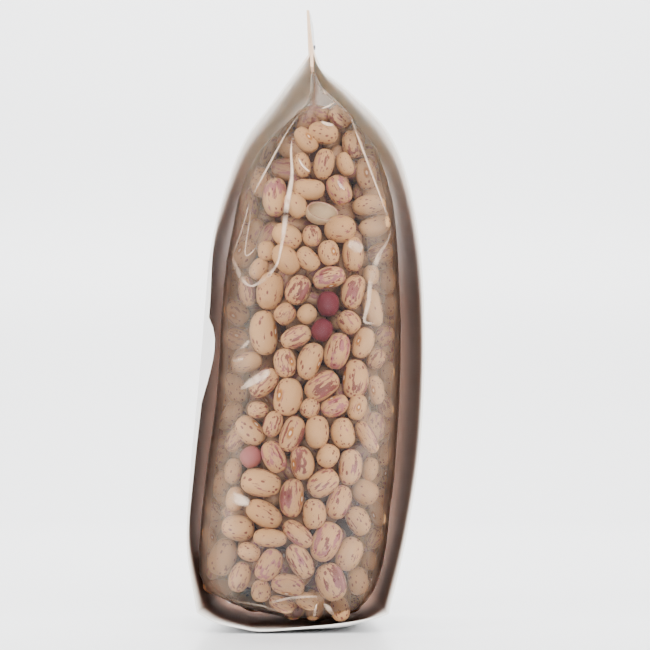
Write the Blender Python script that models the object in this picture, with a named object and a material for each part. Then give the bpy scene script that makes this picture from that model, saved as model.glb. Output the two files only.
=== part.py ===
# A retail pack of dried borlotti beans: a clear film bag, standing in a folded sleeve of
# paperboard that is open at its near and far sides and closed by a flat seal at the top.
# Metres, +Z up. The open near side faces -Y. Lengths at the top are in millimetres.

import math

import bmesh
import bpy
import numpy as np
from mathutils import Matrix, Vector

MM = 0.001

# Sleeve: one strip of board that runs down the left, under the bag and up the right
SLEEVE_DEPTH = 82.0
BOARD = 0.6
SEAL_FOOT_Z = 192.2
SEAL_TOP_Z = 207.4
SEAL_BOW = 1.5
SEAL_STEPS = 4
SEAL_TAPER = 0.6
DEPTH_STEPS = 10
MIDDLE_X = 0.28
# Each point: x and z of the sleeve's near edge, how far the middle of the board's width stands
# out from it, and how much nearer to the pack's middle the far edge is
LEFT_PANEL = (
    (-34.9, 6.9, 0.4, 0.0),
    (-38.3, 29.0, 1.6, 0.6),
    (-36.6, 54.0, 3.0, 1.6),
    (-34.0, 79.0, 3.6, 2.6),
    (-31.8, 107.0, 3.6, 3.0),
    (-30.6, 128.0, 2.4, 2.0),
    (-26.8, 145.0, 1.4, 0.8),
    (-20.0, 163.0, 1.0, 0.0),
    (-10.0, 176.8, 0.8, 0.0),
)
RIGHT_PANEL = (
    (27.7, 6.5, 0.4, 0.0),
    (33.4, 30.0, 0.8, 3.2),
    (38.2, 60.0, 1.2, 5.6),
    (39.9, 93.0, 1.4, 6.0),
    (38.9, 124.0, 1.2, 5.6),
    (34.6, 150.0, 0.8, 3.0),
    (27.4, 167.0, 0.5, 1.0),
    (14.6, 180.2, 0.5, 0.0),
)
BASE = (
    (-34.9, 6.9, 0.4, 0.0),
    (-28.9, 3.8, 1.0, 0.0),
    (-20.8, 1.9, 1.6, 0.0),
    (-13.6, 0.9, 1.6, 0.0),
    (-1.2, 1.7, 2.4, 0.0),
    (11.9, 2.9, 3.5, 0.0),
    (21.7, 4.6, 2.0, 0.0),
    (27.7, 6.5, 0.4, 0.0),
)
SEAL_FOOT = ((1.4, SEAL_FOOT_Z), (3.8, SEAL_FOOT_Z))
SEAL_TOP = ((0.8, SEAL_TOP_Z), (1.5, SEAL_TOP_Z))
SEAL_INSIDE = (2.6, 191.2)
POINTS_PER_SPAN = 3
# A knock in the left panel's near edge
DENT_TOP_Z = 102.5
DENT_FOOT_Z = 76.0
DENT_DEEP = 2.7
DENT_REACH = 13.0
DENT_SKEW = 0.62

# Bag: z of a level, x of its middle, half its width and half its depth
BAG_LEVELS = (
    (2.6, 3.0, 9.0, 18.0),
    (4.6, 1.0, 16.0, 28.0),
    (7.6, -2.0, 23.5, 35.0),
    (12.0, -4.2, 28.8, 38.5),
    (18.0, -4.8, 31.6, 39.6),
    (27.0, -4.2, 32.8, 40.0),
    (40.0, -3.0, 32.9, 40.0),
    (52.0, -1.5, 33.3, 40.0),
    (64.0, -0.2, 33.0, 39.8),
    (77.5, 1.1, 32.5, 39.6),
    (91.0, 1.8, 32.1, 39.2),
    (105.0, 2.1, 31.8, 38.8),
    (119.0, 2.5, 31.0, 38.4),
    (133.0, 3.0, 29.8, 37.8),
    (147.0, 3.5, 27.7, 37.0),
    (156.0, 3.8, 25.2, 36.2),
    (164.0, 4.4, 21.2, 35.6),
    (170.0, 5.2, 16.0, 35.0),
    (175.0, 6.2, 11.0, 34.4),
    (179.0, 6.4, 6.4, 33.8),
    (184.0, 4.0, 2.2, 33.0),
    (188.5, 3.0, 0.8, 32.4),
)
CORNER_POWER = 2.7
ROUND_STEPS = 24
BEANS_TOP_Z = 180.0
# How far the core lies below the skin: at the card, and at the open sides where the beans show
CORE_IN_X = 2.2
CORE_IN_Y = 4.8
NECK_FOOT_Z = 170.0
NECK_TOP_Z = 180.0
THINNEST = 0.5

# Beans
BEAN_COUNT = 820
BEAN_LONG = 13.2
BEAN_WIDE = 9.0
BEAN_THICK = 7.4
BEAN_SPREAD = 0.1
SMALLEST_BEAN = 0.78
LARGEST_BEAN = 1.22
SETTLE_STEPS = 260
SEED = 11
SHOWN_DEPTH = 7.0
DIRECTION_DEPTH = 9.0
BEANS_SHOWN = 240
SHORTEST_EDGE = 0.03


def curve_through(points, per_span):
    """A smooth curve through the points, as a list of tuples that starts and ends on them."""
    ends = [points[0]] + list(points) + [points[-1]]
    out = []
    for a, b, c, d in zip(ends, ends[1:], ends[2:], ends[3:]):
        for step in range(per_span):
            t = step / per_span
            out.append(
                tuple(
                    0.5 * (2 * q + (r - p) * t + (2 * p - 5 * q + 4 * r - s) * t**2)
                    + 0.5 * (3 * q - p - 3 * r + s) * t**3
                    for p, q, r, s in zip(a, b, c, d)
                )
            )
    return out + [tuple(points[-1])]


def smooth_rise(value, low, high):
    t = min(max((value - low) / (high - low), 0.0), 1.0)
    return t * t * (3 - 2 * t)


def material(name, colour, roughness):
    made = bpy.data.materials.new(name)
    made.use_nodes = True
    shader = made.node_tree.nodes["Principled BSDF"]
    shader.inputs["Base Color"].default_value = (*colour, 1.0)
    shader.inputs["Roughness"].default_value = roughness
    shader.inputs["Metallic"].default_value = 0.0
    return made


def add_object(name, mesh, made_of):
    thing = bpy.data.objects.new(name, mesh)
    mesh.materials.append(made_of)
    bpy.context.scene.collection.objects.link(thing)
    return thing


def sleeve_path():
    """The board's near edge from the seal's left foot round to its right foot, with the
    bulge at each point, and the direction in which the board faces out there."""
    left = curve_through(LEFT_PANEL + ((*SEAL_FOOT[0], SEAL_BOW * 0.4, 0.0),), POINTS_PER_SPAN)
    base = curve_through(BASE, POINTS_PER_SPAN)
    right = curve_through(RIGHT_PANEL + ((*SEAL_FOOT[1], 0.6, 0.0),), POINTS_PER_SPAN)
    path = left[::-1] + base[1:-1] + right
    facing = []
    for before, after in zip([path[0]] + path[:-1], path[1:] + [path[-1]]):
        along = Vector((after[0] - before[0], after[1] - before[1])).normalized()
        facing.append(Vector((along.y, -along.x)))
    return path, facing


def dent(z, y):
    """How far the knock pushes the left panel in at this height and depth."""
    if not DENT_FOOT_Z < z < DENT_TOP_Z:
        return 0.0
    share = (DENT_TOP_Z - z) / (DENT_TOP_Z - DENT_FOOT_Z)
    from_edge = y + SLEEVE_DEPTH / 2
    return DENT_DEEP * math.sin(math.pi * share**DENT_SKEW) * math.exp(-((from_edge / DENT_REACH) ** 2))


def shape_sleeve(bm, bulge_x, bulge_z, toe_in):
    """Bends the straight extrusion: it bulges at mid width, the far edges toe in and it is
    flat where it stands."""
    half = SLEEVE_DEPTH / 2
    for v in bm.verts:
        across = v.co.y / half
        middle = 1 - across**2
        v.co.x += v[bulge_x] * middle
        v.co.z += v[bulge_z] * middle
        v.co.x += v[toe_in] * ((across + 1) / 2) ** 2
        if v.co.x < 0:
            v.co.x += dent(v.co.z, v.co.y)
    for v in bm.verts:
        inside = v[bm.verts.layers.float["inside"]]
        v.co.z = max(v.co.z, BOARD if inside else 0.0)


def build_sleeve():
    path, facing = sleeve_path()
    bm = bmesh.new()
    bulge_x = bm.verts.layers.float.new("bulge_x")
    bulge_z = bm.verts.layers.float.new("bulge_z")
    toe_in = bm.verts.layers.float.new("toe_in")
    inside = bm.verts.layers.float.new("inside")

    def corner(x, z, out_x=0.0, out_z=0.0, toe=0.0, is_inside=0.0):
        v = bm.verts.new((x, -SLEEVE_DEPTH / 2, z))
        v[bulge_x] = out_x
        v[bulge_z] = out_z
        v[toe_in] = math.copysign(toe, -x)
        v[inside] = is_inside
        return v

    outer = []
    inner = []
    for (x, z, bulge, toe), out in zip(path, facing):
        outer.append(corner(x, z, bulge * out.x, bulge * out.y, toe))
        at = Vector((x, z)) - BOARD * out
        inner.append(corner(at.x, at.y, bulge * out.x, bulge * out.y, toe, 1.0))
    apex = corner(*SEAL_INSIDE, SEAL_BOW * 0.4)
    for i in range(1, len(path) - 2):
        bm.faces.new((outer[i], inner[i], inner[i + 1], outer[i + 1]))
    bm.faces.new((outer[0], apex, inner[1], outer[1]))
    bm.faces.new((outer[-2], inner[-2], apex, outer[-1]))
    for spare in (inner[0], inner[-1]):
        bm.verts.remove(spare)
    left, right = outer[0], outer[-1]
    for level in range(1, SEAL_STEPS + 1):
        t = level / SEAL_STEPS
        bow = SEAL_BOW * smooth_rise(t, -0.5, 1.0)
        next_left = corner(
            SEAL_FOOT[0][0] + (SEAL_TOP[0][0] - SEAL_FOOT[0][0]) * t,
            SEAL_FOOT_Z + (SEAL_TOP_Z - SEAL_FOOT_Z) * t,
            bow,
        )
        next_right = corner(
            SEAL_FOOT[1][0] + (SEAL_TOP[1][0] - SEAL_FOOT[1][0]) * t**SEAL_TAPER,
            next_left.co.z,
            bow,
        )
        ring = [left, next_left, next_right, right]
        if level == 1:
            ring.append(apex)
        bm.faces.new(ring)
        left, right = next_left, next_right

    step = Vector((0.0, SLEEVE_DEPTH / DEPTH_STEPS, 0.0))
    front = list(bm.faces)
    for depth_step in range(DEPTH_STEPS):
        grown = bmesh.ops.extrude_face_region(bm, geom=front, use_keep_orig=True)
        if depth_step > 0:
            bmesh.ops.delete(bm, geom=front, context="FACES")
        moved = [g for g in grown["geom"] if isinstance(g, bmesh.types.BMVert)]
        bmesh.ops.translate(bm, verts=moved, vec=step)
        front = [g for g in grown["geom"] if isinstance(g, bmesh.types.BMFace)]
    shape_sleeve(bm, bulge_x, bulge_z, toe_in)
    bmesh.ops.recalc_face_normals(bm, faces=bm.faces)
    bmesh.ops.scale(bm, verts=bm.verts, vec=(MM, MM, MM))
    mesh = bpy.data.meshes.new("card_sleeve")
    bm.to_mesh(mesh)
    bm.free()
    mesh.shade_smooth()
    mesh.set_sharp_from_angle(angle=math.radians(40))
    return add_object("card_sleeve", mesh, material("white_lined_board", (0.80, 0.79, 0.76), 0.6))


def bag_at(z):
    """The bag's middle x, half width and half depth at heights z."""
    levels = np.array(BAG_LEVELS)
    return [np.interp(z, levels[:, 0], levels[:, column]) for column in (1, 2, 3)]


def keep_in_bag(points, gap):
    """Moves points that are closer than gap to the bag's skin back inside."""
    z = np.clip(points[:, 2], BAG_LEVELS[0][0] + gap, BEANS_TOP_Z - gap)
    middle, half_x, half_y = bag_at(z)
    half_x = np.maximum(half_x - gap, 0.5)
    half_y = np.maximum(half_y - gap, 0.5)
    reach = (np.abs(points[:, 0] - middle) / half_x) ** CORNER_POWER
    reach = (reach + (np.abs(points[:, 1]) / half_y) ** CORNER_POWER) ** (1 / CORNER_POWER)
    reach = np.maximum(reach, 1.0)
    x = middle + (points[:, 0] - middle) / reach
    return np.stack([x, points[:, 1] / reach, z], axis=1)


def close_pairs(points, owner, reach):
    """Pairs of points of different beans that are nearer than reach."""
    first = []
    second = []
    for start in range(0, len(points), 400):
        block = points[start : start + 400]
        apart = ((block[:, None, :] - points[None, :, :]) ** 2).sum(axis=2)
        i, j = np.nonzero(apart < reach * reach)
        i = i + start
        keep = (i < j) & (owner[i] != owner[j])
        first.append(i[keep])
        second.append(j[keep])
    return np.concatenate(first), np.concatenate(second)


def settle_beans():
    """Places the beans: each is a row of three balls, pushed off its neighbours and the skin."""
    rng = np.random.default_rng(SEED)
    sizes = np.clip(rng.normal(1.0, BEAN_SPREAD, BEAN_COUNT), SMALLEST_BEAN, LARGEST_BEAN)
    centres = np.zeros((BEAN_COUNT, 3))
    low, high = BAG_LEVELS[0][0], BEANS_TOP_Z
    placed = 0
    while placed < BEAN_COUNT:
        spot = np.array([rng.uniform(-40, 40), rng.uniform(-40, 40), rng.uniform(low, high)])
        if np.abs(keep_in_bag(spot[None, :], 4.0)[0] - spot).max() < 1e-9:
            centres[placed] = spot
            placed += 1
    along = rng.normal(size=(BEAN_COUNT, 3))
    along /= np.linalg.norm(along, axis=1)[:, None]
    ball = (BEAN_WIDE + BEAN_THICK) / 4 * sizes
    arm = (BEAN_LONG / 2 * sizes - ball)[:, None]
    owner = np.repeat(np.arange(BEAN_COUNT), 3)
    radius = ball[owner]
    for step in range(SETTLE_STEPS):
        balls = np.stack([centres - arm * along, centres, centres + arm * along], axis=1)
        balls = balls.reshape(-1, 3)
        if step % 8 == 0:
            i, j = close_pairs(balls, owner, 2 * radius.max() + 1.0)
        gap = balls[j] - balls[i]
        apart = np.linalg.norm(gap, axis=1)
        lap = radius[i] + radius[j] - apart
        hit = lap > 0
        push = gap[hit] / np.maximum(apart[hit], 1e-6)[:, None] * (0.5 * lap[hit])[:, None]
        shift = np.zeros_like(balls)
        np.add.at(shift, i[hit], -push)
        np.add.at(shift, j[hit], push)
        touched = np.zeros(len(balls))
        np.add.at(touched, i[hit], 1.0)
        np.add.at(touched, j[hit], 1.0)
        shift /= np.maximum(touched, 1.0)[:, None] ** 0.5
        walled = keep_in_bag(balls + shift, radius)
        new = walled.reshape(BEAN_COUNT, 3, 3)
        centres = new.mean(axis=1)
        along = new[:, 2] - new[:, 0]
        along /= np.linalg.norm(along, axis=1)[:, None]
        centres = np.round(centres, 5)
        along = np.round(along, 6)
    return centres, along, sizes


def skin_direction(points):
    """The way out through the nearest skin, for points that lie close to it."""
    out = points - keep_in_bag(points, DIRECTION_DEPTH)
    return out / np.maximum(np.linalg.norm(out, axis=1), 1e-9)[:, None]


def core_levels():
    """The levels of the core: inset from the skin where beans cover it, the skin itself at
    the neck."""
    lowest = BAG_LEVELS[0][0] + CORE_IN_X
    heights = [lowest] + [level[0] for level in BAG_LEVELS if level[0] > lowest + 1.0]
    for z in heights:
        middle, half_x, half_y = bag_at(z)
        filled = 1 - smooth_rise(z, NECK_FOOT_Z, NECK_TOP_Z)
        yield z, middle, max(half_x - CORE_IN_X * filled, THINNEST), half_y - CORE_IN_Y * filled


def build_core():
    """The bag's form without the beans at its skin, as rings joined from bottom to top."""
    bm = bmesh.new()
    rings = []
    for z, middle, half_x, half_y in core_levels():
        circle = bmesh.ops.create_circle(bm, segments=ROUND_STEPS, radius=1.0)["verts"]
        for v in circle:
            x, y = v.co.x, v.co.y
            reach = (abs(x) ** CORNER_POWER + abs(y) ** CORNER_POWER) ** (1 / CORNER_POWER)
            v.co = Vector((middle + half_x * x / reach, half_y * y / reach, z)) * MM
        rings.append(list({edge for v in circle for edge in v.link_edges}))
    bmesh.ops.holes_fill(bm, edges=rings[0])
    bmesh.ops.holes_fill(bm, edges=rings[-1])
    for lower, upper in zip(rings, rings[1:]):
        bmesh.ops.bridge_loops(bm, edges=lower + upper)
    bmesh.ops.recalc_face_normals(bm, faces=bm.faces)
    mesh = bpy.data.meshes.new("bag_of_beans")
    bm.to_mesh(mesh)
    bm.free()
    return add_object("bag_of_beans", mesh, material("speckled_beans", (0.62, 0.46, 0.33), 0.4))


def add_bean(number, centre, along, out, size, where):
    """One bean with few sides, its broad side turned to the skin."""
    wide = out.cross(along).normalized()
    thick = along.cross(wide).normalized()
    turn = Matrix((wide, thick, along)).transposed().to_4x4()
    stretch = Matrix.Diagonal((BEAN_WIDE / 2, BEAN_THICK / 2, BEAN_LONG / 2, 1.0))
    bm = bmesh.new()
    bmesh.ops.create_icosphere(
        bm, subdivisions=1, radius=size, matrix=Matrix.Translation(centre) @ turn @ stretch
    )
    bmesh.ops.scale(bm, verts=bm.verts, vec=(MM, MM, MM))
    mesh = bpy.data.meshes.new(f"bean_{number:03d}")
    bm.to_mesh(mesh)
    bm.free()
    where.objects.link(bpy.data.objects.new(mesh.name, mesh))


def fuse_beans(bag):
    """Joins the beans that lie at the skin to the core, those at the open sides first."""
    centres, along, sizes = settle_beans()
    out = skin_direction(centres)
    at_skin = np.abs(keep_in_bag(centres, SHOWN_DEPTH) - centres).max(axis=1) > 1e-6
    order = np.argsort(-(np.abs(out[:, 1]) + 0.3 * np.abs(out[:, 2])) * at_skin, kind="stable")
    beans = bpy.data.collections.new("beans")
    for number in order[:BEANS_SHOWN]:
        if at_skin[number]:
            add_bean(number, *(Vector(row[number]) for row in (centres, along, out)),
                     sizes[number], beans)
    join = bag.modifiers.new("beans", "BOOLEAN")
    join.operation = "UNION"
    join.operand_type = "COLLECTION"
    join.collection = beans
    join.solver = "MANIFOLD"
    bpy.context.view_layer.update()
    fused = bpy.data.meshes.new_from_object(
        bag.evaluated_get(bpy.context.evaluated_depsgraph_get())
    )
    bag.modifiers.clear()
    bag.data = fused
    bm = bmesh.new()
    bm.from_mesh(fused)
    bmesh.ops.remove_doubles(bm, verts=bm.verts, dist=SHORTEST_EDGE * MM)
    bmesh.ops.triangulate(bm, faces=bm.faces)
    bm.to_mesh(fused)
    bm.free()
    for bean in list(beans.objects):
        bpy.data.objects.remove(bean)
    bpy.data.collections.remove(beans)


def build():
    for old in list(bpy.data.objects):
        bpy.data.objects.remove(old)
    sleeve = build_sleeve()
    bag = build_core()
    fuse_beans(bag)
    for thing in (sleeve, bag):
        thing.data.transform(Matrix.Translation((-MIDDLE_X * MM, 0.0, 0.0)))


build()
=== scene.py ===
# Looks of a retail pack of dried borlotti beans: a clear film bag of speckled beans, standing in
# a folded sleeve of white-lined board that is open at its near and far sides.
# Lengths are in millimetres until a mesh is finished, then they are turned into metres.

import math

import bmesh
import bpy
import numpy as np
from mathutils import Matrix, Vector
from mathutils.bvhtree import BVHTree


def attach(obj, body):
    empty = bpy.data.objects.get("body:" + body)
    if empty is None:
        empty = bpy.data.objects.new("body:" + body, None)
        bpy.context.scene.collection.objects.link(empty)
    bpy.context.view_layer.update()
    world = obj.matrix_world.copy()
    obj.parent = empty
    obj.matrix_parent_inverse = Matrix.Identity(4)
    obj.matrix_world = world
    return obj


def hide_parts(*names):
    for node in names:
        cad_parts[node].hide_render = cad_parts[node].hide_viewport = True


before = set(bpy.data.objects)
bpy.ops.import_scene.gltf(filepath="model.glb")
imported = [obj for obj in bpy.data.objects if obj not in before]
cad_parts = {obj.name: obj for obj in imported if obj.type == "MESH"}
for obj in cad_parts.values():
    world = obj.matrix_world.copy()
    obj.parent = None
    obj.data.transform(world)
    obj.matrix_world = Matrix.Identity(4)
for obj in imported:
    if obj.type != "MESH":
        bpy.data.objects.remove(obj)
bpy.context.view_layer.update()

MM = 0.001
# The pack's middle: the tables give x from a point a little to its left
MIDDLE = Vector((0.28, 0.0, 0.0))

# Camera: the photograph's frame, where the camera stands before the pack, and the steps along a
# sight line
FRAME_PIXELS = 650
FOCAL_PIXELS = 1818.0
SENSOR_MM = 36.0
CAMERA_AT = Vector((7.0, -641.0, 53.5))
CAMERA_PITCH = math.radians(4.56)
SIGHT_STEPS = 320
SIGHT_STEP = 0.25

# Sleeve: one strip of board that runs down the left, under the bag and up the right. Each point:
# x and z of the near edge, how far the middle of the board's width bulges out, and how far the
# far edge leans in
SLEEVE_DEPTH = 82.0
BOARD = 0.6
BOARD_GRAIN = (1.0, 0.3, 1.0)
SEAL_FOOT_Z = 192.2
SEAL_TOP_Z = 207.4
SEAL_BOW = 1.5
SEAL_TAPER = 0.6
LEFT_PANEL = (
    (-34.9, 6.9, 0.4, 3.5),
    (-38.3, 29.0, 1.6, 0.6),
    (-36.6, 54.0, 3.0, 1.6),
    (-34.0, 79.0, 3.6, 2.6),
    (-31.8, 107.0, 3.6, 3.0),
    (-30.6, 128.0, 2.4, 2.0),
    (-26.8, 145.0, 1.4, 0.8),
    (-20.0, 163.0, 1.0, 0.0),
    (-10.0, 176.8, 0.8, 0.0),
)
RIGHT_PANEL = (
    (27.7, 6.5, 0.4, 3.8),
    (33.4, 30.0, 0.8, 3.2),
    (38.2, 60.0, 1.2, 5.6),
    (39.9, 93.0, 1.4, 6.0),
    (38.9, 124.0, 1.2, 5.6),
    (34.6, 150.0, 0.8, 3.0),
    (27.4, 167.0, 0.5, 1.0),
    (14.6, 180.2, 1.2, 0.0),
    (6.3, 187.0, 2.6, 0.0),
)
BASE = (
    (-34.9, 6.9, 0.4, 3.5),
    (-28.9, 3.8, 1.0, 0.0),
    (-20.8, 1.9, 1.6, 0.0),
    (-13.6, 0.9, 1.6, 0.0),
    (-1.2, 1.7, 2.4, 0.0),
    (11.9, 2.9, 3.5, 0.0),
    (21.7, 4.6, 2.0, 0.0),
    (27.7, 6.5, 0.4, 3.8),
)
SEAL_FOOT = (1.4, 3.8)
SEAL_TOP = (0.8, 1.7)
# Between the plies: z, and x of the core's left and right face
SEAL_CORE = ((188.2, 2.1, 3.1), (192.2, 2.0, 3.1), (196.0, 1.85, 2.25), (199.5, 1.65, 1.85))
STAPLE_WIRE = 0.7
STAPLE_LONG = 4.0
STAPLE_AT = (3.45, -37.0, 195.6)
POINTS_PER_SPAN = 8
DEPTH_STEPS = 28
SEAL_INSET = 0.15
# A knock in the left panel's near edge
DENT_TOP_Z = 102.5
DENT_FOOT_Z = 76.0
DENT_DEEP = 2.7
DENT_REACH = 13.0
DENT_SKEW = 0.62

# Bag: z of a level, x of its middle, half its width and half its depth
BAG_LEVELS = (
    (2.6, 3.0, 9.0, 18.0),
    (4.6, 1.0, 16.0, 28.0),
    (7.6, -2.0, 23.5, 35.0),
    (12.0, -4.2, 28.8, 38.5),
    (18.0, -4.8, 31.6, 39.6),
    (27.0, -4.2, 32.8, 40.0),
    (40.0, -3.0, 32.9, 40.0),
    (52.0, -1.5, 33.3, 40.0),
    (64.0, -0.2, 33.0, 39.8),
    (77.5, 1.1, 32.5, 39.6),
    (91.0, 1.8, 32.1, 39.2),
    (105.0, 2.1, 31.8, 38.8),
    (119.0, 2.5, 31.0, 38.4),
    (133.0, 3.0, 29.8, 37.8),
    (147.0, 3.5, 27.7, 37.0),
    (156.0, 3.8, 25.2, 36.2),
    (164.0, 4.4, 21.2, 35.6),
    (170.0, 5.2, 16.0, 35.0),
    (175.0, 6.2, 11.0, 34.4),
    (179.0, 6.4, 6.4, 33.8),
    (184.0, 4.0, 2.2, 33.0),
    (188.5, 3.0, 0.8, 32.4),
)
CORNER_POWER = 2.7
BEANS_TOP_Z = 180.0

# Beans: how many settle in the bag, their mean size and how the sizes spread
BEAN_COUNT = 820
BEAN_LONG = 13.2
BEAN_WIDE = 9.0
BEAN_THICK = 7.4
BEAN_SPREAD = 0.1
SMALLEST_BEAN = 0.78
LARGEST_BEAN = 1.22
BEAN_RADIUS = 4.6
SETTLE_STEPS = 260
PAIRS_EVERY = 8
PAIR_BLOCK = 400
START_REACH = 40.0
START_GAP = 4.0
SEED = 11
# Packed beans further in than this are left out
SEEN_DEPTH = 14.8
# How far and how often a packed bean moves in behind the shown ones
BEHIND_STEP = 1.0
BEHIND_STEPS = 12
# Packed beans may come as near a shown one as this share of their radii together
MAY_LAP = 0.84
SHOWN_GROWTH = 1.05
# Painted shade: beans whose middle is further in than this are darkened
DARKER_FROM = 9.0
DARKER_REACH = 3.0
DEEP_BEAN_PAINTED_SHADE = 0.6
# The bag's lower line at the open side: z at x = 0 and its slope, left and right
FOOT_LINES = ((4.2, -0.34), (-7.9, 1.0))
# A bean's shape: faces round and along it, thickness as a share of breadth, how much it bends, how
# uneven and how full its ends are, and how its length and turn vary
BEAN_SIDES = 8
BEAN_RINGS = 6
FLATTER = 0.86
BEAN_BEND = (0.03, 0.07)
BEND_MIDDLE = 0.4
ENDS_UNEVEN = 0.06
FULL_POWER = 2.5
FULL_ROOT = 0.46
FULLER = 1.05
LONGER = 1.03
BLUNTER = 0.05
LONG_SPREAD = 0.05
ROLL = 0.3
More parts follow.
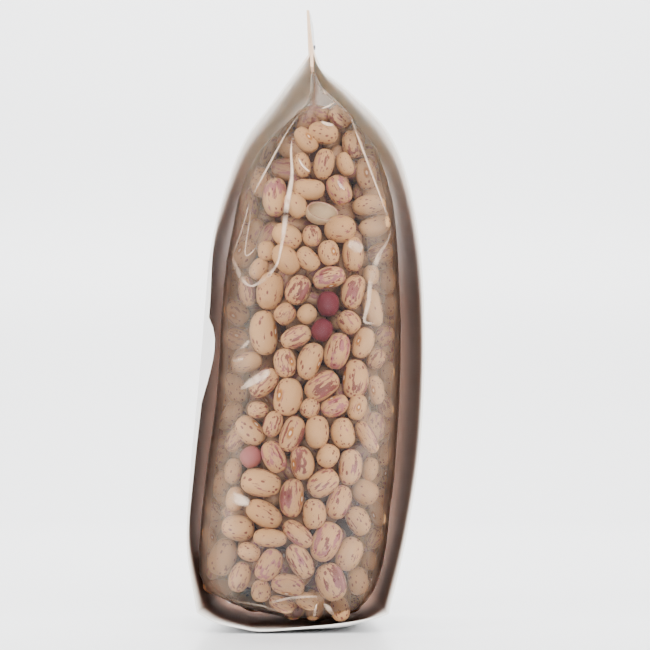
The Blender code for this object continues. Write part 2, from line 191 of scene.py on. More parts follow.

# The beans against the near film: x and y in the photograph's frame, length and breadth, lean
# of the long side from level, and marks. Then, where it isn't hidden behind, where the eye shows
# (0 in front, 90 to the side), and how much deeper than the film the bean sits
SHOWN_BEANS = (
    (323, 133, 10.5, 7.9, -10, "dots"),
    (340, 117, 8.9, 7.4, -45, "streaks", -60),
    (306, 140, 10.0, 6.8, -50, "plain", -30, 0.8),
    (353, 144, 10.0, 7.9, 100, "streaks"),
    (302, 165, 8.7, 6.0, 100, "dots", 180, 0.5),
    (324, 164, 10.8, 7.1, 80, "dots"),
    (345, 164, 8.4, 5.8, 110, "plain", 120, 1.5),
    (366, 174, 11.3, 7.6, 100, "dots", 5),
    (339, 190, 10.8, 8.1, 120, "blotches"),
    (309, 189, 10.8, 7.4, -5, "plain", -75),
    (369, 205, 11.8, 7.4, 10, "dots", 150),
    (296, 205, 9.5, 7.4, 120, "plain", -80, 0.6),
    (262, 185, 8.7, 8.2, 100, "dots"),
    (267, 152, 12.0, 6.3, 70, "streaks", 180, 1.5),
    (249, 206, 12.6, 6.8, 95, "blotches", 180, 0.5),
    (287, 236, 10.8, 8.2, -30, "dots"),
    (312, 236, 7.4, 6.8, 90, "streaks", 180, 1.0),
    (340, 229, 11.0, 9.7, 0, "dots"),
    (375, 226, 11.3, 7.4, 20, "plain", -70),
    (329, 253, 8.7, 7.4, 100, "dots", 30),
    (353, 254, 12.1, 7.6, 90, "streaks"),
    (308, 259, 9.2, 6.8, 130, "dots", 70, 0.5),
    (286, 259, 11.6, 8.4, 127, "plain"),
    (267, 251, 7.0, 6.6, 90, "plain", 180, 1.5),
    (380, 253, 9.5, 7.4, 20, "streaks", 180, 0.8),
    (329, 278, 11.3, 7.6, 15, "blotches", 55),
    (270, 291, 13.1, 9.5, 80, "dots"),
    (298, 290, 10.5, 8.4, 65, "streaks"),
    (353, 292, 12.0, 8.2, 75, "streaks", 80),
    (307, 314, 6.8, 6.6, 50, "plain"),
    (285, 314, 7.6, 7.4, 45, "streaks"),
    (349, 322, 8.4, 7.6, -45, "streaks"),
    (264, 333, 15.4, 9.7, 95, "dots", 62),
    (296, 337, 10.8, 7.4, 25, "streaks"),
    (337, 351, 12.6, 8.8, 75, "blotches"),
    (363, 343, 10.8, 7.4, 70, "plain", -30),
    (285, 363, 10.0, 7.8, 100, "streaks", 40),
    (310, 361, 12.9, 8.2, 70, "dots", 60),
    (355, 379, 13.3, 9.2, 85, "streaks", -65),
    (322, 386, 12.6, 9.2, 35, "streaks"),
    (288, 397, 13.1, 10.0, 80, "dots", -40),
    (264, 383, 11.8, 7.9, 45, "streaks"),
    (247, 362, 10.8, 7.1, 10, "plain"),
    (335, 406, 9.7, 7.1, 25, "blotches", -60),
    (357, 407, 9.0, 6.8, 75, "plain", 10, 0.3),
    (310, 408, 7.1, 6.6, 60, "streaks", 180, 1.2),
    (258, 410, 7.1, 5.9, 0, "streaks", 180, 0.8),
    (237, 313, 9.5, 8.2, 135, "dots", -25),
    (236, 339, 9.0, 7.9, 160, "streaks", 20),
    (245, 254, 11.0, 7.9, 60, "dots", -40),
    (259, 269, 7.9, 6.3, 60, "plain", 180, 1.0),
    (247, 291, 10.8, 6.1, 100, "streaks"),
    (231, 289, 6.3, 5.3, 90, "plain"),
    (373, 308, 13.1, 6.8, 100, "plain", 80),
    (388, 281, 9.5, 5.8, 90, "plain"),
    (390, 305, 7.9, 4.7, 90, "plain"),
    (371, 275, 6.8, 5.8, 90, "plain", 180, 1.0),
    (384, 336, 7.9, 6.8, 60, "blotches"),
    (376, 359, 7.4, 6.8, 60, "streaks"),
    (388, 372, 7.4, 4.7, 90, "plain"),
    (376, 390, 10.0, 5.8, 100, "plain", -20),
    (235, 388, 11.3, 7.6, 110, "dots"),
    (385, 407, 8.0, 6.0, 100, "streaks"),
    (233, 412, 7.9, 6.3, 60, "dots"),
    (250, 431, 11.6, 8.4, 135, "dots", 55),
    (273, 424, 9.0, 6.6, 70, "streaks"),
    (292, 434, 12.4, 8.2, 70, "streaks", -10),
    (317, 432, 11.2, 8.3, 90, "plain"),
    (343, 433, 10.5, 8.2, 100, "dots", 80),
    (367, 437, 12.1, 5.8, 120, "streaks"),
    (274, 457, 11.3, 7.9, 115, "blotches"),
    (302, 463, 11.3, 8.2, 100, "streaks", -50),
    (328, 456, 8.2, 7.4, 60, "dots"),
    (350, 467, 12.4, 8.3, 85, "streaks", -75),
    (261, 483, 13.8, 9.7, 170, "dots"),
    (292, 498, 13.1, 8.4, 85, "streaks", 60),
    (323, 483, 11.3, 8.9, 35, "streaks"),
    (314, 514, 10.3, 8.2, 90, "dots", -85),
    (339, 502, 11.8, 8.2, 70, "streaks", 180, 0.3),
    (365, 492, 9.5, 8.7, 150, "plain"),
    (264, 514, 12.9, 8.4, 150, "dots"),
    (238, 528, 11.3, 8.9, 170, "dots"),
    (270, 538, 11.3, 6.3, 175, "dots"),
    (298, 534, 11.8, 6.8, 140, "streaks"),
    (326, 542, 13.9, 10.0, 65, "blotches"),
    (358, 521, 10.3, 7.9, 120, "dots", -80),
    (377, 514, 9.0, 5.5, 110, "plain", -30),
    (374, 538, 7.4, 6.3, 60, "streaks"),
    (223, 557, 13.1, 9.5, 70, "dots"),
    (249, 552, 7.8, 6.3, 160, "dots"),
    (240, 577, 10.5, 7.4, 70, "streaks"),
    (269, 565, 11.6, 8.4, 60, "blotches", -80),
    (300, 561, 12.6, 7.9, 120, "streaks"),
    (349, 554, 11.8, 8.9, 65, "dots"),
    (369, 561, 6.6, 6.0, 90, "plain", 180, 0.5),
    (382, 558, 7.9, 4.7, 90, "plain", 10, 0.5),
    (331, 582, 12.9, 10.3, 110, "streaks"),
    (358, 581, 9.7, 7.4, 100, "dots"),
    (288, 585, 11.3, 7.4, 170, "streaks", -60),
    (261, 591, 7.4, 6.8, 90, "dots"),
    (340, 609, 8.4, 6.8, 100, "dots"),
    (282, 604, 9.0, 5.6, 160, "streaks", 50, 0.5),
    (307, 601, 7.9, 5.8, 160, "dots", 180, 0.5),
    (214, 512, 7.4, 6.1, 120, "streaks", 70),
    (210, 538, 8.4, 4.9, 110, "plain", 20),
    (233, 471, 8.7, 6.1, 80, "plain"),
    (235, 440, 8.7, 6.6, 60, "streaks"),
    (222, 483, 9.0, 5.8, 80, "dots"),
    (235, 499, 8.4, 6.4, 80, "plain", 180, 0.3),
    (222, 456, 6.6, 5.0, 60, "streaks", 180, 0.5),
    (370, 469, 8.0, 5.8, 80, "plain", 180, 0.5),
    (384, 455, 7.5, 5.0, 80, "dots", 180, 0.5),
    (386, 492, 7.5, 5.0, 90, "dots", 180, 0.5),
)
CRIMSON_BEANS = (
    (328, 304, 8.7, 7.8, 90, "none"),
    (322, 330, 7.9, 7.4, 60, "none"),
)
PINK_BEANS = ((251, 457, 7.4, 7.3, 30, "none"),)
TAN_BEANS = ((218, 587, 10.4, 5.8, 172, "none", 180, 0.6),)
# An empty half of a bean's skin, and the way that it opens
HUSK = (322, 212, 10.8, 8.3, 6, "none")
HUSK_OPENS = (0.25, -0.72, 0.5)
HUSK_OPEN_AT = 0.7
HUSK_WALL = 0.45
HUSK_ROOM = 1.7
MARKS = {
    "none": (0.0, 0.0, -0.6),
    "plain": (0.4, 0.3, 0.1),
    "dots": (1.1, 0.45, 0.35),
    "streaks": (0.6, 1.15, 0.5),
    "blotches": (0.6, 0.7, 1.2),
}

# Film: its faces round and up, its gap to the beans, how deep it may sink between them, and the
# rounds of tension. Then the dark body inside the heap, painted shade in place of beans deeper in
FILM_SIDES = 112
FILM_LEVELS = 170
FILM_GAP = 0.25
FILM_SAG = 2.2
FILM_TENSION_STEPS = 160
CAST_FROM = 1.0
DEEP_SHARE = 0.8
CORE_DEPTH = 12.0
CORE_LEVELS = 24
CORE_SIDES = 32
# Haze: over how much sideways turn it grows on the flanks, and over which heights at the neck
FLANK_HAZE = 0.1
FLANK_TURN = (0.4, 0.85)
LEFT_HAZIER = 1.2
NECK_HAZE = 0.18
NECK_GATHERED = (172.0, 181.0)
NECK_TIGHT = (168.0, 182.0)
CREASE_STEPS = 5
# Across a crease: the share of its half width and the lift off the film
CREASE_SECTION = ((-1.0, 0.15), (-0.5, 0.4), (0.0, 0.5), (0.5, 0.4), (1.0, 0.15))
# Painted highlights on folds and on the film over beans, then folds with painted shade: how
# strongly each shows, and its points in the photograph's frame with its width there in pixels
PAINTED_HIGHLIGHTS = (
    (0.75, ((345, 94, 1.0), (352, 120, 1.8), (365, 155, 2.6), (378, 190, 1.9), (391, 226, 1.2))),
    (0.45, ((391.7, 227, 1.5), (387.7, 241, 2.5), (379.7, 254, 5.0), (373.4, 270, 7.0))),
    (
        0.45,
        ((373.4, 270, 7.0), (370, 286, 5.0), (368.6, 302, 5.0), (364.6, 321, 3.5), (375, 323, 2.0)),
    ),
    (
        0.6,
        ((301.6, 110, 1.1), (285.7, 134, 1.5), (276, 151.5, 2.2), (265, 172, 2.4), (250, 200, 1.4)),
    ),
    (0.5, ((250, 200, 2.0), (242, 229, 1.6), (231.8, 255.8, 2.0))),
    (0.45, ((251.4, 208, 1.5), (248, 230, 1.5), (245, 253, 2.0), (250, 254, 1.6), (258, 245, 1.0))),
    (0.6, ((292, 139, 1.2), (291, 153, 2.6), (292, 175, 3.6), (288, 199, 6.0), (285.6, 214, 6.0))),
    (
        0.5,
        ((285.6, 214, 6.0), (284, 230, 5.0), (281, 248, 3.4), (277, 264, 2.8), (266.5, 278, 5.0)),
    ),
    (
        0.45,
        ((266.5, 278, 5.5), (252, 286, 2.5), (242.6, 280, 4.5), (236, 267, 5.0), (231.8, 255, 2.0)),
    ),
    (0.6, ((343.9, 95.7, 1.2), (330.3, 105, 2.5), (320.7, 109, 1.5))),
    (0.3, ((402, 245, 1.0), (403, 300, 1.2), (403, 400, 1.2), (402.5, 486, 1.2), (397, 519, 1.2))),
    (0.3, ((397, 519, 1.2), (394, 553, 1.2), (390.6, 580, 1.0))),
    (0.35, ((348, 243, 6.0), (355, 246, 12.0), (363, 250, 8.0))),
    (0.5, ((240.5, 389.5, 3.0), (250, 383, 8.0), (262, 376, 10.0), (270, 370, 5.0))),
    (0.6, ((231, 495, 8.0), (240, 500, 12.0), (250, 502, 8.0))),
    (0.35, ((240, 349, 2.0), (246, 344, 5.0), (250, 340, 2.0))),
    (0.35, ((232, 361, 2.0), (238, 360, 4.0), (244, 358, 2.0))),
    (0.7, ((317, 603, 1.0), (315, 611, 3.0), (314, 618, 4.0))),
    (0.7, ((323, 603, 1.0), (328, 608, 6.0), (334, 616, 3.0))),
    (0.3, ((269, 603, 2.0), (292, 598, 3.0), (319, 596.5, 2.0))),
    (0.35, ((202, 592, 1.2), (222, 598, 1.4), (240, 602, 1.4), (262, 606, 1.6), (280, 612, 1.4))),
    (0.35, ((280, 612, 1.4), (297, 619, 1.4), (310, 622, 1.2))),
    (0.3, ((215, 592, 1.2), (232, 605, 1.6), (240, 617, 1.2))),
    (0.6, ((320.7, 121, 2.0), (327, 124, 4.0), (334, 125, 3.0))),
    (0.7, ((323, 87.7, 1.0), (325.5, 94, 2.0), (328.7, 88.5, 1.0))),
    (0.4, ((306, 88, 2.0), (308, 92, 2.5), (309, 100, 2.5))),
    (0.5, ((337, 180, 2.0), (341, 186, 4.0), (345, 190, 2.0))),
    (0.6, ((298, 158, 1.5), (303, 166, 2.5), (310, 172, 1.5))),
)
PAINTED_SHADE_FOLDS = (
    (0.5, ((304, 107, 2.0), (288, 110, 4.0), (271, 121, 5.0), (259, 137, 4.0), (247, 158, 2.0))),
    (0.4, ((304, 112, 2.0), (293, 118, 4.0), (283, 131, 4.0), (274, 147, 3.0))),
    (0.5, ((311, 60, 3.0), (312, 75, 9.0), (313, 92, 12.0), (312, 108, 10.0), (305, 122, 4.0))),
)


# Shared helpers


def curve_through(points, per_span):
    """A smooth curve through the points, as a list of tuples that starts and ends on them."""
    ends = [points[0]] + list(points) + [points[-1]]
    out = []
    for a, b, c, d in zip(ends, ends[1:], ends[2:], ends[3:]):
        for step in range(per_span):
            t = step / per_span
            out.append(
                tuple(
                    0.5 * (2 * q + (r - p) * t + (2 * p - 5 * q + 4 * r - s) * t**2)
                    + 0.5 * (3 * q - p - 3 * r + s) * t**3
                    for p, q, r, s in zip(a, b, c, d)
                )
            )
    return out + [tuple(points[-1])]


def smooth_rise(value, low, high):
    t = min(max((value - low) / (high - low), 0.0), 1.0)
    return t * t * (3 - 2 * t)


def sight_line(x, y):
    """The direction from the camera through a point of the photograph's frame."""
    half = FRAME_PIXELS / 2
    right = (x - half) / FOCAL_PIXELS
    up = (half - y) / FOCAL_PIXELS
    sin, cos = math.sin(CAMERA_PITCH), math.cos(CAMERA_PITCH)
    return Vector((right, cos - sin * up, sin + cos * up)).normalized()


def made_object(name, bm, materials, smooth=True):
    """Turns a mesh in millimetres into an object in metres."""
    bmesh.ops.scale(bm, verts=bm.verts, vec=(MM, MM, MM))
    mesh = bpy.data.meshes.new(name)
    bm.to_mesh(mesh)
    bm.free()
    for one in materials:
        mesh.materials.append(one)
    if smooth:
        mesh.shade_smooth()
    made = bpy.data.objects.new(name, mesh)
    bpy.context.scene.collection.objects.link(made)
    return made


def finish_piece(name, bm, materials, node=None, smooth=True):
    """A finished piece that rides on the pack."""
    bmesh.ops.translate(bm, verts=bm.verts, vec=-MIDDLE)
    piece = made_object(name, bm, materials, smooth)
    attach(piece, "root")
    if node:
        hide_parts(node)
    return piece


def bag_piece(name, bm, materials):
    """A finished piece of what stands for the bag."""
    return finish_piece(name, bm, materials, node="bag_of_beans")


def subdivide(piece, levels):
    modifier = piece.modifiers.new("rounding", "SUBSURF")
    modifier.levels = levels
    modifier.render_levels = levels


# Materials


class Nodes:
    """A material's node tree, with short calls to add and join nodes."""

    def __init__(self, name):
        self.made = bpy.data.materials.new(name)
        self.made.use_nodes = True
        self.tree = self.made.node_tree
        self.shader = self.tree.nodes["Principled BSDF"]
        self.output = self.tree.nodes["Material Output"]

    def add(self, kind, **values):
        node = self.tree.nodes.new(kind)
        for key, value in values.items():
            setattr(node, key, value)
        return node

    def join(self, source, target):
        self.tree.links.new(source, target)

    def base(self, colour, roughness, specular=0.5):
        """The shader's colour pattern and its even finish."""
        self.join(colour, self.shader.inputs["Base Color"])
        self.shader.inputs["Roughness"].default_value = roughness
        self.shader.inputs["Specular IOR Level"].default_value = specular

    def set(self, target, value):
        if isinstance(value, bpy.types.NodeSocket):
            self.join(value, target)
        else:
            target.default_value = value

    def math(self, operation, first, second=0.0, clamp=False):
        node = self.add("ShaderNodeMath", operation=operation, use_clamp=clamp)
        self.set(node.inputs[0], first)
        self.set(node.inputs[1], second)
        return node.outputs[0]

    def plus(self, first, second, clamp=False):
        return self.math("ADD", first, second, clamp)

    def minus(self, first, second):
        return self.math("SUBTRACT", first, second)

    def times(self, first, second, clamp=False):
        return self.math("MULTIPLY", first, second, clamp)

    def parts(self, vector):
        node = self.add("ShaderNodeSeparateXYZ")
        self.join(vector, node.inputs["Vector"])
        return node.outputs

    def ramp(self, value, low, high):
        node = self.add("ShaderNodeMapRange", interpolation_type="SMOOTHSTEP", clamp=True)
        self.set(node.inputs["Value"], value)
        self.set(node.inputs["From Min"], low)
        self.set(node.inputs["From Max"], high)
        return node.outputs[0]

    def mix(self, share, first, second):
        node = self.add("ShaderNodeMix", data_type="RGBA")
        self.set(node.inputs["Factor"], share)
        for socket, value in ((node.inputs["A"], first), (node.inputs["B"], second)):
            self.set(socket, (*value, 1.0) if isinstance(value, tuple) else value)
        return node.outputs["Result"]

    def attribute(self, name):
        return self.add("ShaderNodeAttribute", attribute_name=name)

    def object_place(self, scale=(1.0, 1.0, 1.0)):
        where = self.add("ShaderNodeTexCoord")
        mapping = self.add("ShaderNodeMapping")
        mapping.inputs["Scale"].default_value = scale
        self.join(where.outputs["Object"], mapping.inputs["Vector"])
        return mapping.outputs["Vector"]

    def noise(self, place, scale, detail=2.0, roughness=0.5):
        node = self.add("ShaderNodeTexNoise")
        self.join(place, node.inputs["Vector"])
        node.inputs["Scale"].default_value = scale
        node.inputs["Detail"].default_value = detail
        node.inputs["Roughness"].default_value = roughness
        return node.outputs["Fac"]

    def bump(self, height, strength, distance):
        node = self.add("ShaderNodeBump")
        node.inputs["Strength"].default_value = strength
        node.inputs["Distance"].default_value = distance
        self.join(height, node.inputs["Height"])
        self.join(node.outputs["Normal"], self.shader.inputs["Normal"])


def two_toned(name, first, second, scale, roughness, drawn_out=(1.0, 1.0, 1.0), detail=3.0):
    """A finish of two close tones, mixed by a fine noise."""
    nodes = Nodes(name)
    tones = nodes.noise(nodes.object_place(drawn_out), scale, detail)
    nodes.base(nodes.mix(tones, first, second), roughness)
    return nodes


def board_face(name, colour, roughness, fibre):
    """Coated board: an even colour with faint clouding and a fine tooth."""
    darker = tuple(value * 0.92 for value in colour)
    nodes = two_toned(name, colour, darker, 60.0, roughness, detail=4.0)
    nodes.bump(nodes.noise(nodes.object_place(BOARD_GRAIN), 1800.0, 3.0), fibre, 0.0001)
    return nodes.made


def inner_face():
    """The board's bare inner face: pale grey-beige, with painted shade that browns it deeper in
    from the near edge and lower down, less so near the top. Some light comes through the thin
    board."""
    nodes = Nodes("bare_inner_face_painted_shade")
    nodes.shader.inputs["Subsurface Radius"].default_value = (1.0, 0.9, 0.82)
    nodes.shader.inputs["Subsurface Scale"].default_value = 0.0012
    where = nodes.parts(nodes.object_place())
    # Painted shade: the share of brown grows with depth from the near edge
    deep = nodes.ramp(where["Y"], -0.039, -0.008)
    cloud = nodes.noise(nodes.object_place(), 50.0, 4.0)
    pale = nodes.mix(cloud, (0.94, 0.89, 0.83), (0.90, 0.84, 0.77))
    brown = nodes.mix(cloud, (0.27, 0.14, 0.092), (0.21, 0.105, 0.07))
    # Painted shade is weaker towards the top
    low = nodes.minus(1.0, nodes.ramp(where["Z"], 0.110, 0.180))
    deep = nodes.times(deep, nodes.plus(0.15, nodes.times(low, 0.85)))
    nodes.base(nodes.mix(deep, pale, brown), 0.85, 0.1)
    through = nodes.minus(0.95, nodes.times(deep, 0.5))
    nodes.join(through, nodes.shader.inputs["Subsurface Weight"])
    nodes.bump(nodes.noise(nodes.object_place(BOARD_GRAIN), 1800.0, 3.0), 0.3, 0.0001)
    return nodes.made


def cut_edge():
    """The board's cut edge: pale, and peach-brown up in the seal where the plies show."""
    nodes = Nodes("cut_board_edge")
    where = nodes.parts(nodes.object_place())
    in_seal = nodes.ramp(where["Z"], 0.186, 0.196)
    fibre = nodes.noise(nodes.object_place((1.0, 1.0, 0.2)), 1500.0, 3.0)
    pale = nodes.mix(fibre, (0.86, 0.83, 0.78), (0.74, 0.70, 0.63))
    peach = nodes.mix(fibre, (0.82, 0.60, 0.42), (0.70, 0.46, 0.30))
    nodes.base(nodes.mix(in_seal, pale, peach), 0.8)
    return nodes.made


def bean_skin(name, ground, ground_2, dark, blush, eye_ring):
    """A bean's skin: a mottled ground with streaks along the bean, dots, blushed patches and
    an orange ring round the pale eye."""
    nodes = Nodes(name)
    place = nodes.attribute("bean_place").outputs["Vector"]
    draw = nodes.attribute("bean_draw").outputs["Vector"]
    marks = nodes.parts(nodes.attribute("bean_marks").outputs["Vector"])
    spread = nodes.add("ShaderNodeVectorMath", operation="MULTIPLY_ADD")
    nodes.join(draw, spread.inputs[0])
    spread.inputs[1].default_value = (37.0, 41.0, 53.0)
    nodes.join(place, spread.inputs[2])
    own = spread.outputs[0]
    drawn = nodes.parts(draw)
    at = nodes.parts(place)

    def stretched(scale):
        # The pattern is drawn out along the bean
        mapping = nodes.add("ShaderNodeVectorMath", operation="MULTIPLY")
        nodes.join(own, mapping.inputs[0])
        mapping.inputs[1].default_value = scale
        return mapping.outputs[0]

    clouds = nodes.noise(own, 1.6, 2.0)
    tone = nodes.plus(nodes.times(clouds, 0.6), nodes.times(drawn["X"], 0.5))
    colour = nodes.mix(tone, ground, ground_2)

    patch = nodes.noise(own, 0.9, 1.0)
    patch_2 = nodes.noise(stretched((1.0, 1.0, 0.6)), 1.3, 1.0)
    # Blushed patches, soft pink-purple
    wide = nodes.noise(stretched((1.5, 1.5, 0.8)), 1.5, 3.0, 0.6)
    lower = nodes.minus(0.71, nodes.times(marks["Z"], 0.16))
    blush_share = nodes.times(nodes.ramp(wide, lower, nodes.plus(lower, 0.07)), 0.85)
    colour = nodes.mix(blush_share, colour, blush)
    # Streaks along the bean
    line = nodes.noise(stretched((2.8, 2.8, 0.7)), 1.25, 3.0, 0.6)
    lower = nodes.minus(0.70, nodes.times(marks["Y"], 0.13))
    lower = nodes.plus(lower, nodes.times(nodes.minus(0.5, patch), 0.25))
    # One side of a marked bean is streaked more than the rest
    turn = nodes.times(drawn["Y"], 2 * math.pi)
    sideways = nodes.times(at["X"], nodes.math("COSINE", turn))
    sideways = nodes.plus(sideways, nodes.times(at["Y"], nodes.math("SINE", turn)))
    sided = nodes.times(nodes.ramp(sideways, 0.55, 0.95), marks["Y"])
    lower = nodes.minus(lower, nodes.times(sided, 0.13))
    streak = nodes.ramp(line, lower, nodes.plus(lower, 0.035))
    streak_tone = nodes.mix(nodes.ramp(patch_2, 0.4, 0.75), dark, blush)
    colour = nodes.mix(nodes.times(streak, 0.85), colour, streak_tone)
    # Dots
    cells = nodes.add("ShaderNodeTexVoronoi")
    cells.inputs["Scale"].default_value = 3.1
    nodes.join(stretched((1.0, 1.0, 0.8)), cells.inputs["Vector"])
    draws = nodes.parts(cells.outputs["Color"])
    chosen = nodes.math("LESS_THAN", draws["X"], nodes.times(marks["X"], 0.95))
    small = nodes.plus(0.11, nodes.times(draws["Y"], 0.17))
    ragged = nodes.times(nodes.minus(line, 0.5), 0.5)
    off = nodes.plus(cells.outputs["Distance"], ragged)
    dot = nodes.minus(1.0, nodes.ramp(off, small, nodes.plus(small, 0.07)))
    dot = nodes.times(dot, chosen)
    colour = nodes.mix(nodes.times(dot, 0.85), colour, dark)

    # The eye, at the middle of the bean's belly
    across = nodes.math("DIVIDE", at["Y"], 0.22)
    along = nodes.math("DIVIDE", at["Z"], 0.28)
    from_eye = nodes.math(
        "SQRT", nodes.plus(nodes.math("POWER", across, 2.0), nodes.math("POWER", along, 2.0))
    )
    from_eye = nodes.plus(from_eye, nodes.times(nodes.minus(patch_2, 0.5), 0.5))
    belly = nodes.ramp(at["X"], 0.3, 0.6)
    ring = nodes.minus(1.0, nodes.ramp(from_eye, 0.75, 1.45))
    ring_share = nodes.times(ring, nodes.times(belly, eye_ring))
    colour = nodes.mix(nodes.times(ring_share, 0.9), colour, (0.38, 0.14, 0.03))
    pale = nodes.times(nodes.minus(1.0, nodes.ramp(from_eye, 0.3, 0.5)), belly)
    colour = nodes.mix(nodes.times(pale, eye_ring), colour, (0.78, 0.60, 0.42))
    # Painted shade: beans further in are darkened towards a dark brown
    depth = nodes.attribute("bean_painted_shade").outputs["Fac"]
    colour = nodes.mix(nodes.times(depth, DEEP_BEAN_PAINTED_SHADE), colour, (0.12, 0.055, 0.045))
    nodes.base(colour, 0.42, 0.4)
    nodes.bump(nodes.noise(own, 4.0, 3.0), 0.25, 0.0003)
    return nodes.made


def film_material(tint):
    """Clear glossy film: it lets light through, reflects at a slant, and is hazier where it is
    folded or gathered."""
    nodes = Nodes("clear_film")
    nodes.tree.nodes.remove(nodes.shader)

    def laid_over(share, under, over):
        layer = nodes.add("ShaderNodeMixShader")
        for socket, source in zip(layer.inputs, (share, under.outputs[0], over.outputs[0])):
            nodes.join(source, socket)
        return layer

    clear = nodes.add("ShaderNodeBsdfTransparent")
    clear.inputs["Color"].default_value = (*tint, 1.0)
    milky = nodes.add("ShaderNodeBsdfDiffuse")
    milky.inputs["Color"].default_value = (0.95, 0.74, 0.58, 1.0)
    gloss = nodes.add("ShaderNodeBsdfGlossy")
    gloss.inputs["Color"].default_value = (1.0, 1.0, 1.0, 1.0)
    film_haze = nodes.attribute("film_haze").outputs["Fac"]
    rough = nodes.plus(0.08, nodes.times(film_haze, 2.2), clamp=True)
    nodes.join(nodes.math("MINIMUM", rough, 0.5), gloss.inputs["Roughness"])
    fresnel = nodes.add("ShaderNodeFresnel")
    fresnel.inputs["IOR"].default_value = 1.45
    bump = nodes.add("ShaderNodeBump")
    bump.inputs["Strength"].default_value = 0.15
    bump.inputs["Distance"].default_value = 0.0004
    wrinkle = nodes.noise(nodes.object_place((1.0, 1.0, 0.5)), 160.0, 3.0)
    nodes.join(wrinkle, bump.inputs["Height"])
    nodes.join(bump.outputs["Normal"], gloss.inputs["Normal"])
    nodes.join(bump.outputs["Normal"], fresnel.inputs["Normal"])
    clouds = nodes.ramp(nodes.noise(nodes.object_place((1.0, 1.0, 0.4)), 90.0, 2.0), 0.2, 0.8)
    haze = nodes.times(film_haze, nodes.plus(0.5, clouds), clamp=True)
    shine = nodes.plus(fresnel.outputs[0], nodes.times(film_haze, 0.3), clamp=True)
    skin = laid_over(shine, laid_over(haze, clear, milky), gloss)
    nodes.join(skin.outputs[0], nodes.output.inputs["Surface"])
    return nodes.made


def crease_material():
    """A strip on the film: pale cream as a painted highlight on the lit strips, dark brown as
    painted shade on the shaded ones, clear at its feathered ends.
    """
    nodes = Nodes("film_painted_highlight_and_shade")
    strength = nodes.attribute("crease_strength").outputs["Fac"]
    patchy = nodes.noise(nodes.object_place(), 260.0, 2.0)
    share = nodes.times(strength, nodes.ramp(patchy, 0.1, 0.6), clamp=True)
    shade = nodes.attribute("crease_shade").outputs["Fac"]
    # Painted highlight colour, and painted shade colour where crease_shade is 1
    colour = nodes.mix(shade, (0.87, 0.66, 0.51), (0.24, 0.14, 0.10))
    nodes.base(colour, 0.3)
    nodes.join(share, nodes.shader.inputs["Alpha"])
    return nodes.made


# Sleeve


def dent(z, y):
    """How far the knock pushes the left panel in at this height and depth."""
    if not DENT_FOOT_Z < z < DENT_TOP_Z:
        return 0.0
    share = (DENT_TOP_Z - z) / (DENT_TOP_Z - DENT_FOOT_Z)
    from_edge = y + SLEEVE_DEPTH / 2
    fade = math.exp(-((from_edge / DENT_REACH) ** 2))
    return DENT_DEEP * math.sin(math.pi * share**DENT_SKEW) * fade


def sleeve_path():
    """The board's near edge from the seal's left top round to its right top: x, z, bulge and
    toe-in, all of the outer face."""
    left = curve_through(LEFT_PANEL + ((SEAL_FOOT[0], SEAL_FOOT_Z, 0.6, 0.0),), POINTS_PER_SPAN)
    base = curve_through(BASE, POINTS_PER_SPAN)
    right = curve_through(RIGHT_PANEL + ((SEAL_FOOT[1], SEAL_FOOT_Z, 2.2, 0.0),), POINTS_PER_SPAN)
    seal_left = []
    seal_right = []
    for step in range(1, POINTS_PER_SPAN + 1):
        t = step / POINTS_PER_SPAN
        z = SEAL_FOOT_Z + (SEAL_TOP_Z - SEAL_FOOT_Z) * t
        bow = SEAL_BOW * smooth_rise(t, -0.5, 1.0)
        seal_left.append((SEAL_FOOT[0] + (SEAL_TOP[0] - SEAL_FOOT[0]) * t, z, -bow, 0.0))
        right_x = SEAL_FOOT[1] + (SEAL_TOP[1] - SEAL_FOOT[1]) * t**SEAL_TAPER
        seal_right.append((right_x, z, bow, 0.0))
    return seal_left[::-1] + left[::-1] + base[1:-1] + right + seal_right


def build_sleeve():
    """The folded strip of board."""
    path = sleeve_path()
    bm = bmesh.new()
    push = bm.verts.layers.float_vector.new("push")
    strip = []
    for (x, z, bulge, toe), before, after in zip(
        path, [path[0]] + path[:-1], path[1:] + [path[-1]]
    ):
        along = Vector((after[0] - before[0], 0.0, after[1] - before[1])).normalized()
        v = bm.verts.new((x, -SLEEVE_DEPTH / 2, z))
        v[push] = (along.z * bulge, math.copysign(toe, -x), -along.x * bulge)
        strip.append(v)
    edges = [bm.edges.new(pair) for pair in zip(strip, strip[1:])]
    step = Vector((0.0, SLEEVE_DEPTH / DEPTH_STEPS, 0.0))
    for depth_step in range(DEPTH_STEPS):
        grown = bmesh.ops.extrude_edge_only(bm, edges=edges)["geom"]
        verts = {g for g in grown if isinstance(g, bmesh.types.BMVert)}
        edges = [g for g in grown if isinstance(g, bmesh.types.BMEdge)]
        edges = [edge for edge in edges if verts.issuperset(edge.verts)]
        bmesh.ops.translate(bm, verts=list(verts), vec=step)
    for v in bm.verts:
        across = v.co.y / (SLEEVE_DEPTH / 2)
        v.co.x += v[push].x * (1 - across**2) + v[push].y * ((across + 1) / 2) ** 2
        v.co.z = max(v.co.z + v[push].z * (1 - across**2), 0.0)
        if v.co.x < 0:
            v.co.x += dent(v.co.z, v.co.y)
    bmesh.ops.recalc_face_normals(bm, faces=bm.faces)
    lowest = min(bm.faces, key=lambda face: face.calc_center_median().z)
    if lowest.normal.z > 0:
        bmesh.ops.reverse_faces(bm, faces=bm.faces)
    piece = finish_piece(
        "card_sleeve_board",
        bm,
        [
            board_face("white_coated_face", (0.88, 0.87, 0.85), 0.5, 0.15),
            inner_face(),
            cut_edge(),
        ],
        node="card_sleeve",
    )
    wall = piece.modifiers.new("board", "SOLIDIFY")
    wall.thickness = BOARD * MM
    wall.offset = -1.0
    wall.use_even_offset = True
    wall.material_offset = 1
    wall.material_offset_rim = 2
    return piece


